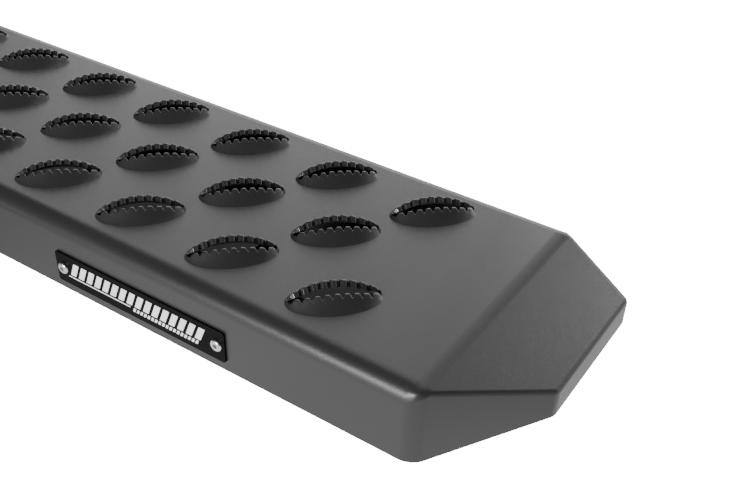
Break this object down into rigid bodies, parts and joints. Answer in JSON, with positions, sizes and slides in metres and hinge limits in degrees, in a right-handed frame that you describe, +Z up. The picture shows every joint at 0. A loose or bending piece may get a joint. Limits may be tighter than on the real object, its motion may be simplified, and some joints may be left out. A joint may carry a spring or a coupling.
{
  "type": "running board",
  "caption": "Straight formed-steel vehicle side step with staggered serrated grip cells, sloped ends, a cut outer corner at each end and slide tracks with T-bolts underneath.",
  "frame": {"origin": "midway between the two middle T-bolt studs, level with the end of their full thread", "axes": "+X along the board to its front end, -Y the outer side with the badge, +Y the vehicle side, +Z up"},
  "size_m": [1.96, 0.1678, 0.081],
  "materials": {
    "textured_black": "fine-textured satin black powder coat",
    "satin_black_steel": "satin black powder coat",
    "black_plastic": "moulded black nylon",
    "badge_black": "satin black plate with a plain white striped graphic",
    "screw_steel": "bright stainless steel",
    "zinc_steel": "bright zinc plate"
  },
  "bodies": {
    "board": {"tread_shell": "textured_black", "track_outer": "satin_black_steel", "track_inner": "satin_black_steel", "track_plug_outer_front": "black_plastic", "track_plug_outer_rear": "black_plastic", "track_plug_inner_front": "black_plastic", "track_plug_inner_rear": "black_plastic", "cross_rib_front_1": "satin_black_steel", "cross_rib_front_2": "satin_black_steel", "cross_rib_front_3": "satin_black_steel", "cross_rib_front_4": "satin_black_steel", "cross_rib_rear_1": "satin_black_steel", "cross_rib_rear_2": "satin_black_steel", "cross_rib_rear_3": "satin_black_steel", "cross_rib_rear_4": "satin_black_steel", "badge_plate": "badge_black", "badge_screws": "screw_steel"},
    "t_bolt_set_outer_front": {"t_bolt_outer_front": "zinc_steel", "washer_outer_front": "zinc_steel", "flange_nut_outer_front": "zinc_steel"},
    "t_bolt_set_outer_middle": {"t_bolt_outer_middle": "zinc_steel", "washer_outer_middle": "zinc_steel", "flange_nut_outer_middle": "zinc_steel"},
    "t_bolt_set_outer_rear": {"t_bolt_outer_rear": "zinc_steel", "washer_outer_rear": "zinc_steel", "flange_nut_outer_rear": "zinc_steel"},
    "t_bolt_set_inner_front": {"t_bolt_inner_front": "zinc_steel", "washer_inner_front": "zinc_steel", "flange_nut_inner_front": "zinc_steel"},
    "t_bolt_set_inner_middle": {"t_bolt_inner_middle": "zinc_steel", "washer_inner_middle": "zinc_steel", "flange_nut_inner_middle": "zinc_steel"},
    "t_bolt_set_inner_rear": {"t_bolt_inner_rear": "zinc_steel", "washer_inner_rear": "zinc_steel", "flange_nut_inner_rear": "zinc_steel"}
  },
  "joints": [
    {"name": "slide_outer_front", "type": "slide", "parent": "board", "child": "t_bolt_set_outer_front", "axis": [1, 0, 0], "range_m": [-0.304, 0.2375]},
    {"name": "slide_outer_middle", "type": "slide", "parent": "board", "child": "t_bolt_set_outer_middle", "axis": [1, 0, 0], "range_m": [-0.266, 0.266]},
    {"name": "slide_outer_rear", "type": "slide", "parent": "board", "child": "t_bolt_set_outer_rear", "axis": [1, 0, 0], "range_m": [-0.2375, 0.304]},
    {"name": "slide_inner_front", "type": "slide", "parent": "board", "child": "t_bolt_set_inner_front", "axis": [1, 0, 0], "range_m": [-0.304, 0.2375]},
    {"name": "slide_inner_middle", "type": "slide", "parent": "board", "child": "t_bolt_set_inner_middle", "axis": [1, 0, 0], "range_m": [-0.266, 0.266]},
    {"name": "slide_inner_rear", "type": "slide", "parent": "board", "child": "t_bolt_set_inner_rear", "axis": [1, 0, 0], "range_m": [-0.2375, 0.304]}
  ]
}
